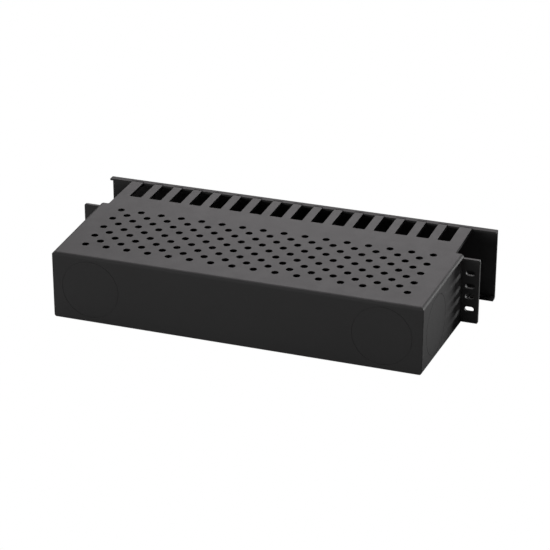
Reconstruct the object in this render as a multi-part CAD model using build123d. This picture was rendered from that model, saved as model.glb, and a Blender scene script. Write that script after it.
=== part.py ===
from build123d import *
import os

os.makedirs("parts", exist_ok=True)

# Horizontal cable manager for a 19 inch rack, two units high
# Units are millimetres. X runs along the rack's width, Y to the rear, Z up.
# Origin: middle of the plane where the ears' rear faces meet the rack rails.

# Rack standard
panel_width = 482.6
ear_hole_inset = 10.4
rack_pitch_inner = 12.7
rack_pitch_outer = 44.45

# Body, an open-fronted box that widens from its rear wall to its fingers
ear_span = 24.0
wall = 3.8
box_depth = 141.9
rear_width = panel_width - 2 * ear_span
rear_height = 80.2
side_flare = 0.0305
roof_slope = 0.0166
long_edge_radius = 3.8
rear_roof_radius = 3.8
rear_floor_radius = 0.8
rear_corner_radius = 0.9
inner_edge_radius = 1.2
corner_margin = 0.01

# Perforated top
hole_across_flats = 8.2
hole_sides = 10
hole_pitch = 25.3
hole_row_spacing = 12.65
hole_rows = 9
first_row_from_rear = 31.6

# Finger combs
comb_setback = 5.7
comb_half_width = rear_width / 2 - comb_setback
finger_tip_y = -75.1
slot_width = 15.0
slot_root_y = -31.9
smallest_end_finger = 10.3
slot_root_radius = 1.5
comb_corner_radius = 2.0

# Tongue on every finger tip, under the flanges of the cover
tongue_thickness = 2.0
tongue_seat_gap = 0.3
tongue_lead_in = 0.8
tongue_end_gap = 0.3

# Rack ears
ear_height = 77.9
ear_thickness = 3.8
ear_corner_radius = 1.5
ear_slot_length = 10.9
ear_slot_height = 6.3

# Knockout rings
knockout_diameter = 68.2
knockout_groove = 0.4
knockout_depth = 0.4
knockout_from_side = 46.0
side_knockout_from_rear = 47.0

# Clip-on cover
cover_inset = 0.95
cover_front_y = -83.7
cover_wall = 2.2
cover_edge_radius = 3.0
cover_inner_radius = 1.0
tab_edge_y = -73.6
notch_edge_y = -76.5
notch_side_gap = 0.45


def half_height(y):
    """Height of the top's outer face over the middle plane at depth y."""
    return rear_height / 2 + roof_slope * (box_depth - y)


def half_width(y):
    """Distance of a side wall's outer face from the middle plane at depth y."""
    return rear_width / 2 + side_flare * (box_depth - y)


def slot_count():
    """Number of finger slots that leave a full finger at both ends."""
    room = 2 * comb_half_width - 2 * smallest_end_finger - slot_width
    return int(room // hole_pitch) + 1


def slot_columns():
    """Middle of every finger slot along X."""
    count = slot_count()
    return [(i - (count - 1) / 2) * hole_pitch for i in range(count)]


def finger_spans():
    """Both edges of every finger along X."""
    edges = [-comb_half_width]
    for x in slot_columns():
        edges += [x - slot_width / 2, x + slot_width / 2]
    edges.append(comb_half_width)
    return list(zip(edges[0::2], edges[1::2]))


def outline(points):
    """Closed face in the YZ plane from (y, z) points."""
    corners = [Vector(0, y, z) for y, z in points]
    return make_face(Polyline(*corners, close=True))


# Tapered block with planar faces and rounded long edges, drawn inside the outer faces by inset
def make_taper(rear_y, front_y, inset, radius):
    rear = half_height(rear_y) - inset
    front = half_height(front_y) - inset
    side = outline([(rear_y, -rear), (rear_y, rear), (front_y, front), (front_y, -front)])
    block = extrude(side, amount=panel_width, both=True, dir=(1, 0, 0))
    rear = half_width(rear_y) - inset
    front = half_width(front_y) - inset
    corners = [(-rear, rear_y), (rear, rear_y), (front, front_y), (-front, front_y)]
    plan = make_face(Polyline(*corners, close=True))
    block &= extrude(plan, amount=panel_width, both=True, dir=(0, 0, 1))
    middle = (rear_y + front_y) / 2
    long_edges = block.edges().filter_by(lambda e: abs(e.center().Y - middle) < 1)
    return fillet(long_edges, radius)


# Plan of the body: tapered box, comb and finger slots
def make_plan():
    rear = half_width(box_depth) + corner_margin
    front = half_width(-ear_thickness) + corner_margin
    corners = [(-rear, box_depth), (rear, box_depth), (front, -ear_thickness), (-front, -ear_thickness)]
    box = Polyline(*corners, close=True)
    comb = Pos(0, -box_depth / 2) * Rectangle(2 * comb_half_width, box_depth)
    plan = make_face(box) + comb
    slot = Rectangle(slot_width, box_depth)
    for x in slot_columns():
        plan -= Pos(x, slot_root_y - box_depth / 2) * slot
    corners = plan.vertices()
    plan = fillet(corners.filter_by(lambda v: abs(v.Y - slot_root_y) < 0.01), slot_root_radius)
    corners = plan.vertices()
    plan = fillet(corners.filter_by(lambda v: abs(v.Y - box_depth) < 0.01), rear_corner_radius)
    corners = plan.vertices().filter_by(lambda v: abs(v.Y + ear_thickness) < 0.01)
    return fillet(corners.filter_by(lambda v: abs(v.X) < comb_half_width + 0.01), comb_corner_radius)


# Side profile of the body: a wide round above the rear wall and a small one below it
def make_profile():
    rear = half_height(box_depth) + corner_margin
    tip = half_height(cover_front_y) + corner_margin
    corners = [(box_depth, -rear), (box_depth, rear), (cover_front_y, tip), (cover_front_y, -tip)]
    profile = outline(corners)
    upper = profile.vertices().sort_by(Axis.Y)[-2:].sort_by(Axis.Z)[-1]
    profile = fillet(upper, rear_roof_radius)
    lower = profile.vertices().filter_by(lambda v: v.Z < 0).sort_by(Axis.Y)[-1]
    profile = fillet(lower, rear_floor_radius)
    return extrude(profile, amount=panel_width / 2, both=True, dir=(1, 0, 0))


# Shell of the body: a tapered block, hollow to the front
def make_shell():
    outer = make_taper(box_depth + wall, finger_tip_y, 0, long_edge_radius)
    inner = make_taper(box_depth - wall, finger_tip_y - wall, wall, inner_edge_radius)
    return (outer & make_profile()) - inner


# Tongues: one rail under the tips of all fingers, later parted by the plan
def make_rail(side):
    end_y = cover_front_y + cover_wall + tongue_end_gap
    root_y = finger_tip_y + wall
    drop = cover_wall + tongue_seat_gap
    low = drop + tongue_thickness
    rail = outline([
        (root_y, side * (half_height(root_y) - drop)),
        (end_y + tongue_lead_in, side * (half_height(end_y) - drop)),
        (end_y, side * (half_height(end_y) - drop - tongue_lead_in)),
        (end_y, side * (half_height(end_y) - low)),
        (finger_tip_y, side * (half_height(finger_tip_y) - low)),
        (root_y, side * (half_height(root_y) - wall)),
    ])
    return extrude(rail, amount=comb_half_width, both=True, dir=(1, 0, 0))


# Holes of the top, in rows that alternate between two counts
def make_perforation():
    spots = []
    for row in range(hole_rows):
        count = slot_count() - row % 2
        y = box_depth - first_row_from_rear - row * hole_row_spacing
        for i in range(count):
            spots.append((i * hole_pitch - (count - 1) * hole_pitch / 2, y))
    hole = RegularPolygon(hole_across_flats / 2, hole_sides, major_radius=False)
    holes = Sketch() + [place * hole for place in Locations(*spots)]
    base = Plane.XY.offset(rear_height / 2 - wall - 2)
    return extrude(base * holes, amount=2 * wall + 4, dir=(0, 0, 1))


# One ear with two pairs of obround slots
def make_ear(side):
    inner = half_width(0) - wall
    width = panel_width / 2 - inner
    plate = Rectangle(width, ear_height)
    outer_corners = plate.vertices().sort_by(Axis.X)[-2:]
    plate = fillet(outer_corners, ear_corner_radius)
    if side < 0:
        plate = mirror(plate, about=Plane.YZ)
    plate = Location((side * (inner + width / 2), 0)) * plate
    slot = SlotOverall(ear_slot_length, ear_slot_height)
    slot_x = side * (panel_width / 2 - ear_hole_inset)
    heights = [rack_pitch_inner / 2, rack_pitch_outer / 2]
    for z in [s * h for h in heights for s in (-1, 1)]:
        plate -= Location((slot_x, z)) * slot
    plane = Plane(origin=(0, 0, 0), x_dir=(1, 0, 0), z_dir=(0, -1, 0))
    return extrude(plane * plate, amount=ear_thickness)


# Thin-walled ring of a knockout
def make_knockout(plane):
    radius = knockout_diameter / 2
    ring = Circle(radius + knockout_groove / 2) - Circle(radius - knockout_groove / 2)
    return extrude(plane * ring, amount=knockout_depth, both=True)


def knockout_planes():
    planes = []
    for side in (-1, 1):
        x = side * (rear_width / 2 - knockout_from_side)
        planes.append(Plane(origin=(x, box_depth, 0), z_dir=(0, 1, 0)))
        y = box_depth - side_knockout_from_rear
        normal = (side, side_flare, 0)
        planes.append(Plane(origin=(side * half_width(y), y, 0), z_dir=normal))
    return planes


def make_body():
    body = make_shell() + make_rail(1) + make_rail(-1)
    body &= extrude(make_plan(), amount=rear_height, both=True, dir=(0, 0, 1))
    body += make_ear(1)
    body += make_ear(-1)
    body -= make_perforation()
    body -= [make_knockout(plane) for plane in knockout_planes()]
    return body


# Cover: a channel profile with a notch in both flanges at every finger
def make_cover():
    front = half_height(cover_front_y)
    edge = half_height(tab_edge_y)
    outer = outline([
        (tab_edge_y, -edge),
        (cover_front_y, -front),
        (cover_front_y, front),
        (tab_edge_y, edge),
    ])
    outer = fillet(outer.vertices().sort_by(Axis.Y)[:2], cover_edge_radius)
    web_y = cover_front_y + cover_wall
    mouth_y = tab_edge_y + cover_wall
    inner = outline([
        (mouth_y, -half_height(mouth_y) + cover_wall),
        (web_y, -half_height(web_y) + cover_wall),
        (web_y, half_height(web_y) - cover_wall),
        (mouth_y, half_height(mouth_y) - cover_wall),
    ])
    inner = fillet(inner.vertices().sort_by(Axis.Y)[:2], cover_inner_radius)
    cover = extrude(outer - inner, amount=panel_width / 2 - cover_inset, both=True, dir=(1, 0, 0))
    notch_depth = 2 * (tab_edge_y - notch_edge_y)
    notches = []
    for left, right in finger_spans():
        width = right - left + 2 * notch_side_gap
        middle = (left + right) / 2
        notches.append(Location((middle, tab_edge_y, 0)) * Box(width, notch_depth, 2 * rear_height))
    for notch in notches:
        cover -= notch
    return cover


body = make_body()
cover = make_cover()
export_step(body, "parts/body.step")
export_step(cover, "parts/cover.step")
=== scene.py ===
import bpy
import bmesh
import math
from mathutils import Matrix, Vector


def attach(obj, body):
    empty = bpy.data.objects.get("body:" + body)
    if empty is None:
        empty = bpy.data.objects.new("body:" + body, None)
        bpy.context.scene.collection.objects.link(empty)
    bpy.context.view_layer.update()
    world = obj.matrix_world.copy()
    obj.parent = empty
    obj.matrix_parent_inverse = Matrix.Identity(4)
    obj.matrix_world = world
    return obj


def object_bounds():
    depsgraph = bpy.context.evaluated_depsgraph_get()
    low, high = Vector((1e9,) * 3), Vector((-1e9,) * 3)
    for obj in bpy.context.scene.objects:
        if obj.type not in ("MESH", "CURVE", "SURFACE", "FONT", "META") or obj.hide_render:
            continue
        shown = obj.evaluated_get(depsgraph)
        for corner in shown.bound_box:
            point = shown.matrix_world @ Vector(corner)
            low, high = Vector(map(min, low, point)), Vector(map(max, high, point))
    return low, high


bl_info = {
    "name": "Rack Cable Manager",
    "version": (1, 0, 0),
    "blender": (4, 5, 0),
    "location": "View3D > Sidebar > Cable Manager",
    "description": "Dresses a two-unit rack cable manager and sets its studio",
    "category": "Object",
}

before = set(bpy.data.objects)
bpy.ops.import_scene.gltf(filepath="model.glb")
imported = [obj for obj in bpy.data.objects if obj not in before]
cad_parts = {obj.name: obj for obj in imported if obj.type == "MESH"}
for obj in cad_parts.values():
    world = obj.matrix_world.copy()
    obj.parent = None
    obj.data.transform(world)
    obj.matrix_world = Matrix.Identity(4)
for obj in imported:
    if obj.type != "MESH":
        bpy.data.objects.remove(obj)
cad_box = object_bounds()
MM = 0.001
WHITE = (1.0, 1.0, 1.0, 1.0)

# Moulded plastic: scales are in waves per metre, and a share is what the second pattern has
FLOW_SCALE = 14.0
CLOUD_SCALE = 55.0
CLOUD_SHARE = 0.4
FINE_GRAIN = 2.7
FINE_SHARE = 0.3
GRAIN_STRENGTH = 0.6
DARK_TONE = 0.86
PALE_TONE = 1.16
CLOUD_DULLING = 0.10
GRAIN_DULLING = 0.12
FACE_SPECULAR = 0.4

# Rims and walls of the holes; the walls carry painted shade that darkens with depth
LIP_HEIGHT = 0.015 * MM
ROUNDING_WIDTH = 0.10 * MM
ROUNDING_DEPTH = 0.09 * MM
WALL_STARTS = 0.03 * MM
WALL_DARK_AT = 0.35 * MM
# painted shade: share of the plastic colour left deep down a hole wall
WALL_PAINTED_SHADE_TONE = 0.05
WALL_DULLING = 0.22
WALL_SPECULAR = 0.15
MOTTLE_SCALE = 900.0
MOTTLE_DULLING = 0.1

# Floor, and the patch of it that keeps its shadow under the object
FLOOR_HALF = 6.0
FLOOR_ROUGHNESS = 0.6
WORN_SCALE = 3.0
WORN_TONE = 0.97
PATCH_END_INSET = 37 * MM
PATCH_SIDE_INSET = 10 * MM
PATCH_EDGE_INSIDE = 6 * MM
PATCH_EDGE_OUTSIDE = 4 * MM


# Nodes

class Sock:
    """A value in a node tree, with Python's operators."""

    def __init__(self, make, value):
        self.make = make
        self.value = value

    def math(self, operation, *others):
        items = dict(enumerate((self,) + others))
        return self.make.node("ShaderNodeMath", {"operation": operation}, items)

    def __add__(self, other):
        return self.math("ADD", other)

    def __sub__(self, other):
        return self.math("SUBTRACT", other)

    def __rsub__(self, other):
        return Sock(self.make, other).math("SUBTRACT", self)

    def __mul__(self, other):
        return self.math("MULTIPLY", other)

    __radd__ = __add__
    __rmul__ = __mul__

    def beside(self, name):
        """Another output of the same node."""
        return Sock(self.make, self.value.node.outputs[name])

    def abs(self):
        return self.math("ABSOLUTE")

    def arctan(self):
        return self.math("ARCTANGENT")

    def larger(self, other):
        return self.math("MAXIMUM", other)

    def ramp(self, start, end):
        """Goes from 0 to 1 between two values, smoothly."""
        settings = {"interpolation_type": "SMOOTHSTEP"}
        return self.make.node("ShaderNodeMapRange", settings, {
            "Value": self,
            "From Min": start,
            "From Max": end,
        })


class Tree:
    """A node tree under construction."""

    def __init__(self, tree):
        self.tree = tree
        self.tree.nodes.clear()

    def node(self, kind, settings=None, inputs=None, out=0):
        """Makes a node: its settings first, then the values or links of its sockets."""
        node = self.tree.nodes.new(kind)
        for key, value in (settings or {}).items():
            setattr(node, key, value)
        for key, item in (inputs or {}).items():
            self.plug(node.inputs[key], item)
        return Sock(self, node.outputs[out]) if node.outputs else None

    def plug(self, socket, item):
        """Links a socket to one value or to each of a list, or writes the number in it."""
        if isinstance(item, list):
            for one in item:
                self.plug(socket, one)
            return
        if isinstance(item, Sock):
            item = item.value
        if isinstance(item, bpy.types.NodeSocket):
            self.tree.links.new(item, socket)
        else:
            socket.default_value = item

    def blend(self, factor, first, second):
        """Mixes two shaders."""
        return self.node("ShaderNodeMixShader", inputs={0: factor, 1: first, 2: second})


class Finish(Tree):
    """A material under construction."""

    def __init__(self, name):
        self.material = bpy.data.materials.new(name)
        self.material.use_nodes = True
        super().__init__(self.material.node_tree)
        self.place = self.node("ShaderNodeTexCoord", out="Object")

    def parts(self):
        """X, Y and Z of the place on the piece."""
        split = self.node("ShaderNodeSeparateXYZ", inputs={"Vector": self.place})
        return [split.beside(axis) for axis in "XYZ"]

    def noise(self, scale, detail, roughness=0.5):
        return self.node("ShaderNodeTexNoise", inputs={
            "Vector": self.place,
            "Scale": scale,
            "Detail": detail,
            "Roughness": roughness,
        })

    def mix(self, factor, first, second):
        """Mixes two colours."""
        items = {"Factor": factor, 6: first, 7: second}
        return self.node("ShaderNodeMix", {"data_type": "RGBA"}, items, out=2)

    def plastic(self, colour, rough, specular, **others):
        return self.node("ShaderNodeBsdfPrincipled", inputs={
            "Base Color": colour,
            "Roughness": rough,
            "Specular IOR Level": specular,
            **others,
        })

    def done(self, shader):
        """Ends the tree with its shader and gives the material."""
        self.node("ShaderNodeOutputMaterial", inputs={"Surface": shader})
        return self.material


def tone(colour, share=1.0):
    """A share of a colour, as a node takes it."""
    return (*(share * part for part in colour), 1.0)


# Settings

class PlasticLook(bpy.types.PropertyGroup):
    plastic_colour: bpy.props.FloatVectorProperty(
        name="Plastic colour", description="Colour of the moulded black plastic",
        subtype="COLOR", size=3, min=0.0, max=1.0, default=(0.0268, 0.0268, 0.0268))
    body_roughness: bpy.props.FloatProperty(
        name="Body roughness", description="Roughness of the body's grained faces",
        default=0.65, min=0.0, max=1.0, subtype="FACTOR")
    cover_roughness: bpy.props.FloatProperty(
        name="Cover roughness", description="Roughness of the cover's faces",
        default=0.74, min=0.0, max=1.0, subtype="FACTOR")
    grain_scale: bpy.props.FloatProperty(
        name="Grain scale", description="Fineness of the moulded grain, in waves per metre",
        default=1500.0, min=100.0, max=6000.0)
    grain_depth: bpy.props.FloatProperty(
        name="Grain depth", description="Depth of the moulded grain",
        default=0.00006, min=0.0, max=0.001, subtype="DISTANCE", unit="LENGTH", precision=6)


class RimLook(bpy.types.PropertyGroup):
    pitch: bpy.props.FloatProperty(
        name="Hole pitch", description="Step between neighbouring holes in a row",
        default=0.0253, min=0.005, max=0.1, subtype="DISTANCE", unit="LENGTH", precision=5)
    across: bpy.props.IntProperty(
        name="Holes across",
        description="Holes in each long row; the rows between have one fewer",
        default=16, min=2, max=40)
    long_rows: bpy.props.IntProperty(
        name="Long rows",
        description="Number of long rows; one fewer short rows lie between them",
        default=5, min=2, max=20)
    middle_y: bpy.props.FloatProperty(
        name="Middle row", description="Distance of the middle row from the rail plane",
        default=0.0597, min=0.0, max=0.2, subtype="DISTANCE", unit="LENGTH", precision=5)
    middle_height: bpy.props.FloatProperty(
        name="Roof height", description="Height of the roof at the middle row",
        default=0.0414645, min=0.0, max=0.1, subtype="DISTANCE", unit="LENGTH", precision=6)
    slope: bpy.props.FloatProperty(
        name="Roof slope", description="Fall of the roof toward the rear wall",
        default=0.0166, min=0.0, max=0.2)
    inner_radius: bpy.props.FloatProperty(
        name="Inner radius", description="Radius of the round opening",
        default=0.00409, min=0.001, max=0.02, subtype="DISTANCE", unit="LENGTH", precision=5)
    outer_radius: bpy.props.FloatProperty(
        name="Outer radius", description="Radius at which a rim meets the roof",
        default=0.00436, min=0.001, max=0.02, subtype="DISTANCE", unit="LENGTH", precision=5)
    depth: bpy.props.FloatProperty(
        name="Rim depth", description="Thickness of the roof that a rim lines",
        default=0.00378, min=0.0005, max=0.02, subtype="DISTANCE", unit="LENGTH", precision=5)
    sides: bpy.props.IntProperty(
        name="Rim sides", description="Sides of each round rim",
        default=18, min=8, max=32)


class StudioLook(bpy.types.PropertyGroup):
    floor_colour: bpy.props.FloatVectorProperty(
        name="Floor colour", description="Colour of the pale floor",
        subtype="COLOR", size=3, min=0.0, max=1.0, default=(0.42, 0.42, 0.42))
    floor_whiteness: bpy.props.FloatProperty(
        name="Floor whiteness",
        description="Share of plain white that the camera sees on the floor",
        default=1.0, min=0.0, max=1.0, subtype="FACTOR")
    camera_place: bpy.props.FloatVectorProperty(
        name="Camera place", description="Where the camera stands",
        subtype="TRANSLATION", unit="LENGTH", size=3, default=(-0.76491, 2.13115, 1.01887))
    camera_turn: bpy.props.FloatVectorProperty(
        name="Camera turn", description="Turn of the camera about X, Y and Z",
        subtype="EULER", size=3, default=(1.142182, -0.001436, -2.795683))
    camera_view: bpy.props.FloatProperty(
        name="Camera view", description="Width of the camera's view",
        default=0.254737, min=0.05, max=2.0, subtype="ANGLE", unit="ROTATION")
    top_light: bpy.props.FloatProperty(
        name="Top light", description="Power of the large lamp above and in front of the object",
        default=20.5, min=0.0, max=1000.0, unit="POWER")
    overhead_light: bpy.props.FloatProperty(
        name="Overhead light", description="Power of the lamp straight above the object",
        default=20.0, min=0.0, max=1000.0, unit="POWER")
    top_tint: bpy.props.FloatVectorProperty(
        name="Top tint", description="Colour of the two lamps above the object",
        subtype="COLOR", size=3, min=0.0, max=1.0, default=(1.0, 0.962, 0.981))
    side_light: bpy.props.FloatProperty(
        name="Side light", description="Power of the low lamp in front of the ear",
        default=27.0, min=0.0, max=1000.0, unit="POWER")
    rear_light: bpy.props.FloatProperty(
        name="Rear light", description="Power of the lamp behind the object",
        default=15.0, min=0.0, max=1000.0, unit="POWER")
    sky_level: bpy.props.FloatProperty(
        name="Sky level", description="Strength of the even light from all round",
        default=0.02, min=0.0, max=2.0)


# Plastic

def moulded_plastic(name, look, sheen):
    """Matt moulded plastic: a fine grain, with faint flow marks and clouds."""
    make = Finish(name)
    flow = make.noise(FLOW_SCALE, detail=3.0)
    cloud = make.noise(CLOUD_SCALE, detail=4.0, roughness=0.6)
    grain = make.noise(look.grain_scale, detail=2.0, roughness=0.65)
    fine = make.noise(look.grain_scale * FINE_GRAIN, detail=1.0)
    dark = tone(look.plastic_colour, DARK_TONE)
    pale = tone(look.plastic_colour, PALE_TONE)
    colour = make.mix(flow * (1 - CLOUD_SHARE) + cloud * CLOUD_SHARE, dark, pale)
    rough = sheen + (cloud - 0.5) * CLOUD_DULLING + (grain - 0.5) * GRAIN_DULLING
    normal = make.node("ShaderNodeBump", inputs={
        "Height": grain * (1 - FINE_SHARE) + fine * FINE_SHARE,
        "Distance": look.grain_depth,
        "Strength": GRAIN_STRENGTH,
    })
    return make.done(make.plastic(colour, rough, FACE_SPECULAR, Normal=normal))


def hole_plastic_painted_shade(plastic, rims):
    """The same plastic, duller down the wall of a hole, with painted shade darkening its colour
    there.
    """
    make = Finish("Hole plastic with painted shade")
    mottle = make.noise(MOTTLE_SCALE, detail=2.0)
    _, along, height = make.parts()
    roof = rims.middle_height - rims.slope * (along - rims.middle_y)
    sunk = (roof - height).ramp(WALL_STARTS, WALL_DARK_AT)
    face = tone(plastic.plastic_colour)
    # painted shade: the colour darkens down the hole wall, where shade falls; the dulling below
    # is real roughness
    painted_shade_colour = tone(plastic.plastic_colour, WALL_PAINTED_SHADE_TONE)
    rough = plastic.body_roughness + sunk * WALL_DULLING + (mottle - 0.5) * MOTTLE_DULLING
    return make.done(make.plastic(make.mix(sunk, face, painted_shade_colour), rough, WALL_SPECULAR))


def dress(node, material):
    """Gives a carried-over node its finish in every slot it has."""
    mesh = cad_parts[node].data
    if not mesh.materials:
        mesh.materials.append(material)
    for place in range(len(mesh.materials)):
        mesh.materials[place] = material


# Rims of the perforation

def rim_shape(look):
    """One round rim at the origin: a flat lip, a small rounding and the wall of the hole."""
    profile = (
        (look.outer_radius, LIP_HEIGHT),
        (look.inner_radius + ROUNDING_WIDTH, LIP_HEIGHT),
        (look.inner_radius, -ROUNDING_DEPTH),
        (look.inner_radius, -look.depth),
    )
    turns = [2 * math.pi * step / look.sides for step in range(look.sides)]
    shape = bmesh.new()
    rings = []
    for radius, height in profile:
        ring = [(radius * math.cos(turn), radius * math.sin(turn), height) for turn in turns]
        rings.append([shape.verts.new(corner) for corner in ring])
    for ring, after in zip(rings, rings[1:] + rings[:1]):
        for step in range(look.sides):
            beside = (step + 1) % look.sides
            face = shape.faces.new((ring[step], ring[beside], after[beside], after[step]))
            face.smooth = True
    outer = rings[0]
    for start, end in zip(outer, outer[1:] + outer[:1]):
        shape.edges.get((start, end)).smooth = False
    bmesh.ops.recalc_face_normals(shape, faces=shape.faces)
    mesh = bpy.data.meshes.new("Rim")
    shape.to_mesh(mesh)
    shape.free()
    return bpy.data.objects.new("Rim", mesh)


RIM_INPUTS = {
    "Rim": "NodeSocketObject",
    "Finish": "NodeSocketMaterial",
    "Pitch": "NodeSocketFloat",
    "Middle": "NodeSocketFloat",
    "Height": "NodeSocketFloat",
    "Slope": "NodeSocketFloat",
    "Across": "NodeSocketInt",
    "Long rows": "NodeSocketInt",
}


def rim_grid():
    """Tree that sets one rim on each hole of the staggered rows."""
    group = bpy.data.node_groups.new("Rim grid", "GeometryNodeTree")
    sockets = group.interface
    sockets.new_socket(name="Geometry", in_out="OUTPUT", socket_type="NodeSocketGeometry")
    for name, kind in RIM_INPUTS.items():
        sockets.new_socket(name=name, in_out="INPUT", socket_type=kind)
    make = Tree(group)
    source = make.node("NodeGroupInput")
    given = {name: source.beside(name) for name in RIM_INPUTS}
    grids = []
    for fewer in (0, 1):
        columns = given["Across"] - fewer
        rows = given["Long rows"] - fewer
        grids.append(make.node("GeometryNodeMeshGrid", inputs={
            "Size X": given["Pitch"] * (columns - 1),
            "Size Y": given["Pitch"] * (rows - 1),
            "Vertices X": columns,
            "Vertices Y": rows,
        }))
    holes = make.node("GeometryNodeJoinGeometry", inputs={"Geometry": grids})
    rim = make.node("GeometryNodeObjectInfo", inputs={"Object": given["Rim"]}, out="Geometry")
    rims = make.node("GeometryNodeInstanceOnPoints", inputs={"Points": holes, "Instance": rim})
    place = make.node("ShaderNodeCombineXYZ", inputs={"Y": given["Middle"], "Z": given["Height"]})
    lean = make.node("ShaderNodeCombineXYZ", inputs={"X": 0 - given["Slope"].arctan()})
    moved = make.node("GeometryNodeTransform", inputs={
        "Geometry": rims,
        "Translation": place,
        "Rotation": lean,
    })
    solid = make.node("GeometryNodeRealizeInstances", inputs={"Geometry": moved})
    coat = make.node("GeometryNodeSetMaterial", inputs={
        "Geometry": solid,
        "Material": given["Finish"],
    })
    make.node("NodeGroupOutput", inputs={"Geometry": coat})
    return group


def grown(name, group, values):
    """Runs a geometry tree once and keeps its result as a plain mesh."""
    holder = bpy.data.objects.new(name + " holder", bpy.data.meshes.new(name + " holder"))
    bpy.context.scene.collection.objects.link(holder)
    modifier = holder.modifiers.new(name, "NODES")
    modifier.node_group = group
    for socket in group.interface.items_tree:
        if socket.in_out == "INPUT":
            modifier[socket.identifier] = values[socket.name]
    bpy.context.view_layer.update()
    ready = holder.evaluated_get(bpy.context.evaluated_depsgraph_get())
    mesh = bpy.data.meshes.new_from_object(ready)
    holder.modifiers.remove(modifier)
    bpy.data.objects.remove(holder)
    if not mesh.polygons:
        raise RuntimeError(name + " came out empty")
    mesh.name = name
    piece = bpy.data.objects.new(name, mesh)
    bpy.context.scene.collection.objects.link(piece)
    return piece


# Studio

def floor_material(look):
    """Floor: white beside the object, with its real shadow under it, and clear from below."""
    make = Finish("Pale floor")
    mottle = make.noise(WORN_SCALE, detail=3.0)
    matt = make.node("ShaderNodeBsdfDiffuse", inputs={
        "Color": make.mix(mottle, tone(look.floor_colour), tone(look.floor_colour, WORN_TONE)),
        "Roughness": FLOOR_ROUGHNESS,
    })
    white = make.node("ShaderNodeEmission", inputs={"Color": WHITE, "Strength": 1.0})
    seen = make.node("ShaderNodeLightPath", out="Is Camera Ray")
    low, high = cad_box
    middle = 0.5 * (low[1] + high[1])
    across, along, _ = make.parts()
    beyond_ends = across.abs() - (high[0] - PATCH_END_INSET)
    beyond_sides = (along - middle).abs() - (high[1] - middle - PATCH_SIDE_INSET)
    open_floor = beyond_ends.larger(beyond_sides).ramp(-PATCH_EDGE_INSIDE, PATCH_EDGE_OUTSIDE)
    top = make.blend(seen * open_floor * look.floor_whiteness, matt, white)
    below = make.node("ShaderNodeNewGeometry", out="Backfacing")
    clear = make.node("ShaderNodeBsdfTransparent")
    return make.done(make.blend(below, top, clear))


def lay_floor(look):
    """Lays the floor at the object's lowest point."""
    level = cad_box[0][2]
    signs = ((-1, -1), (1, -1), (1, 1), (-1, 1))
    corners = [(x * FLOOR_HALF, y * FLOOR_HALF, level) for x, y in signs]
    mesh = bpy.data.meshes.new("Floor")
    mesh.from_pydata(corners, [], [(0, 1, 2, 3)])
    mesh.materials.append(floor_material(look))
    floor = bpy.data.objects.new("Floor", mesh)
    bpy.context.scene.collection.objects.link(floor)
    return floor


def add_lamp(name, place, target, size, power, tint=(1.0, 1.0, 1.0)):
    """Hangs a rectangular lamp that faces its target."""
    lamp = bpy.data.lights.new(name, "AREA")
    lamp.color = tint
    lamp.shape = "RECTANGLE"
    lamp.size, lamp.size_y = size
    lamp.energy = power
    obj = bpy.data.objects.new(name, lamp)
    obj.location = place
    obj.rotation_euler = (Vector(target) - Vector(place)).to_track_quat("-Z", "Y").to_euler()
    bpy.context.scene.collection.objects.link(obj)


def hang_lamps(look):
    add_lamp("Top lamp", place=(0.34, -1.42, 0.98), target=(0.0, 0.05, 0.0),
             size=(1.3, 0.9), power=look.top_light, tint=look.top_tint)
    add_lamp("Overhead lamp", place=(0.30, -0.05, 2.00), target=(0.0, 0.05, 0.0),
             size=(0.7, 0.4), power=look.overhead_light, tint=look.top_tint)
    add_lamp("Side lamp", place=(-1.05, -1.85, 0.02), target=(-0.23, 0.0, 0.0),
             size=(0.9, 0.10), power=look.side_light)
    add_lamp("Rear lamp", place=(0.50, 2.30, 0.28), target=(0.0, 0.1, 0.0),
             size=(1.6, 0.4), power=look.rear_light)


def paint_sky(look):
    """A faint even light that the camera sees as white."""
    world = bpy.data.worlds.new("Studio")
    world.use_nodes = True
    make = Tree(world.node_tree)
    faint = make.node("ShaderNodeBackground", inputs={"Strength": look.sky_level})
    white = make.node("ShaderNodeBackground", inputs={"Color": WHITE, "Strength": 1.0})
    seen = make.node("ShaderNodeLightPath", out="Is Camera Ray")
    make.node("ShaderNodeOutputWorld", inputs={"Surface": make.blend(seen, faint, white)})
    bpy.context.scene.world = world


def place_camera(look):
    camera = bpy.data.cameras.new("Camera")
    camera.sensor_fit = "HORIZONTAL"
    camera.angle = look.camera_view
    eye = bpy.data.objects.new("Camera", camera)
    eye.location = look.camera_place
    eye.rotation_euler = look.camera_turn
    bpy.context.scene.collection.objects.link(eye)
    bpy.context.scene.camera = eye


# Steps

class CABLE_OT_stage(bpy.types.Operator):
    """Makes the floor, the lamps, the sky and the camera"""

    bl_idname = "cable.stage"
    bl_label = "Set Studio"

    def execute(self, context):
        look = context.scene.studio_look
        floor = lay_floor(look)
        hang_lamps(look)
        paint_sky(look)
        place_camera(look)
        context.scene.view_settings.view_transform = "Standard"
        return {"FINISHED"}


class CABLE_OT_body(bpy.types.Operator):
    """Gives the moulded body its grained plastic"""

    bl_idname = "cable.body"
    bl_label = "Finish Body"

    def execute(self, context):
        look = context.scene.plastic_look
        dress("body", moulded_plastic("Body plastic", look, look.body_roughness))
        return {"FINISHED"}


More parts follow.
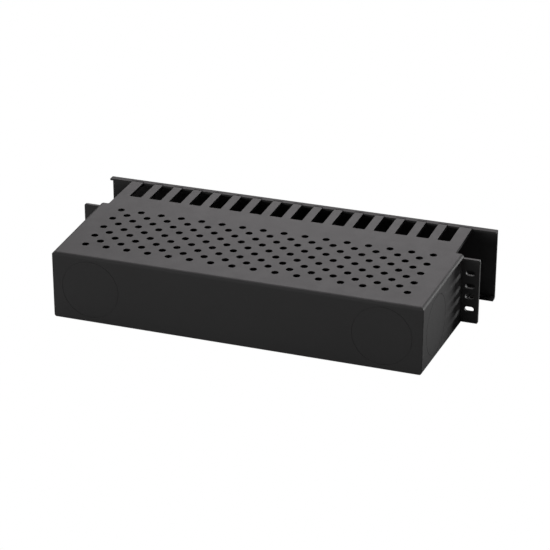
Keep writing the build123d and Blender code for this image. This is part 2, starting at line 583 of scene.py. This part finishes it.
class CABLE_OT_cover(bpy.types.Operator):
    """Gives the clip-on cover its plastic"""

    bl_idname = "cable.cover"
    bl_label = "Finish Cover"

    def execute(self, context):
        look = context.scene.plastic_look
        dress("cover", moulded_plastic("Cover plastic", look, look.cover_roughness))
        return {"FINISHED"}


class CABLE_OT_rims(bpy.types.Operator):
    """Sets a round moulded rim in each hole of the roof"""

    bl_idname = "cable.rims"
    bl_label = "Set Hole Rims"

    def execute(self, context):
        look = context.scene.rim_look
        rim = rim_shape(look)
        values = {
            "Rim": rim,
            # the hole finish darkens the hole walls with painted shade
            "Finish": hole_plastic_painted_shade(context.scene.plastic_look, look),
            "Pitch": look.pitch,
            "Middle": look.middle_y,
            "Height": look.middle_height,
            "Slope": look.slope,
            "Across": look.across,
            "Long rows": look.long_rows,
        }
        piece = grown("hole_rims", rim_grid(), values)
        bpy.data.objects.remove(rim)
        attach(piece, "duct")
        return {"FINISHED"}


class CABLE_PT_panel(bpy.types.Panel):
    """Lists the settings and the steps"""

    bl_label = "Cable Manager"
    bl_idname = "CABLE_PT_panel"
    bl_space_type = "VIEW_3D"
    bl_region_type = "UI"
    bl_category = "Cable Manager"

    def draw(self, context):
        scene = context.scene
        for group in (scene.plastic_look, scene.rim_look, scene.studio_look):
            box = self.layout.box()
            for key in group.__annotations__:
                box.prop(group, key)
        for step in STEPS:
            self.layout.operator(step.bl_idname)


STEPS = (CABLE_OT_stage, CABLE_OT_body, CABLE_OT_cover, CABLE_OT_rims)
CLASSES = (PlasticLook, RimLook, StudioLook) + STEPS + (CABLE_PT_panel,)


def register():
    for item in CLASSES:
        bpy.utils.register_class(item)
    bpy.types.Scene.plastic_look = bpy.props.PointerProperty(type=PlasticLook)
    bpy.types.Scene.rim_look = bpy.props.PointerProperty(type=RimLook)
    bpy.types.Scene.studio_look = bpy.props.PointerProperty(type=StudioLook)


def unregister():
    del bpy.types.Scene.studio_look
    del bpy.types.Scene.rim_look
    del bpy.types.Scene.plastic_look
    for item in reversed(CLASSES):
        bpy.utils.unregister_class(item)


def main():
    register()
    bpy.ops.cable.stage()
    bpy.ops.cable.body()
    bpy.ops.cable.cover()
    bpy.ops.cable.rims()


if __name__ == "__main__":
    main()
